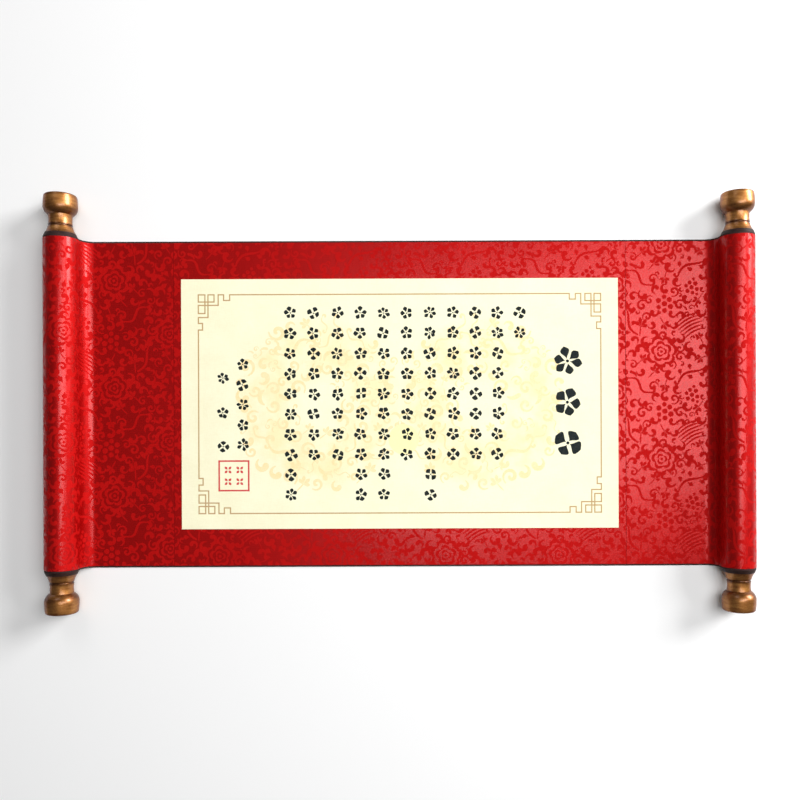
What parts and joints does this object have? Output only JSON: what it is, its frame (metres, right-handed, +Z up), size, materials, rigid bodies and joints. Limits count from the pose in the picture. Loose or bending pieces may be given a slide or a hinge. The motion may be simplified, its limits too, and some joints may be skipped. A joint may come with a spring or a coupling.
{
  "type": "paper scroll",
  "caption": "Open horizontal hand scroll: brocade-mounted sheet with a framed letter panel, both ends wound on rods with turned finials.",
  "frame": {"origin": "under the middle of the sheet, on the surface that the lining and both rolls rest on", "axes": "+X along the sheet from the left roll to the right roll, +Y across it towards its upper edge, +Z up out of its face"},
  "size_m": [0.6408, 0.3778, 0.0302],
  "materials": {
    "brocade": "satin damask",
    "lining": "matte dark paper",
    "panel": "matte cream paper with printed border and ink marks",
    "rod": "bare wood",
    "ring": "dark lacquer, satin",
    "finial": "gilded, shaded to brown"
  },
  "bodies": {
    "root": {"lining": "lining", "brocade_left": "brocade", "brocade_middle": "brocade", "brocade_right": "brocade", "letter_panel": "panel", "rod_left": "rod", "rod_right": "rod", "end_ring_upper_left": "ring", "end_ring_lower_left": "ring", "end_ring_upper_right": "ring", "end_ring_lower_right": "ring", "finial_upper_left": "finial", "finial_lower_left": "finial", "finial_upper_right": "finial", "finial_lower_right": "finial"}
  },
  "joints": []
}
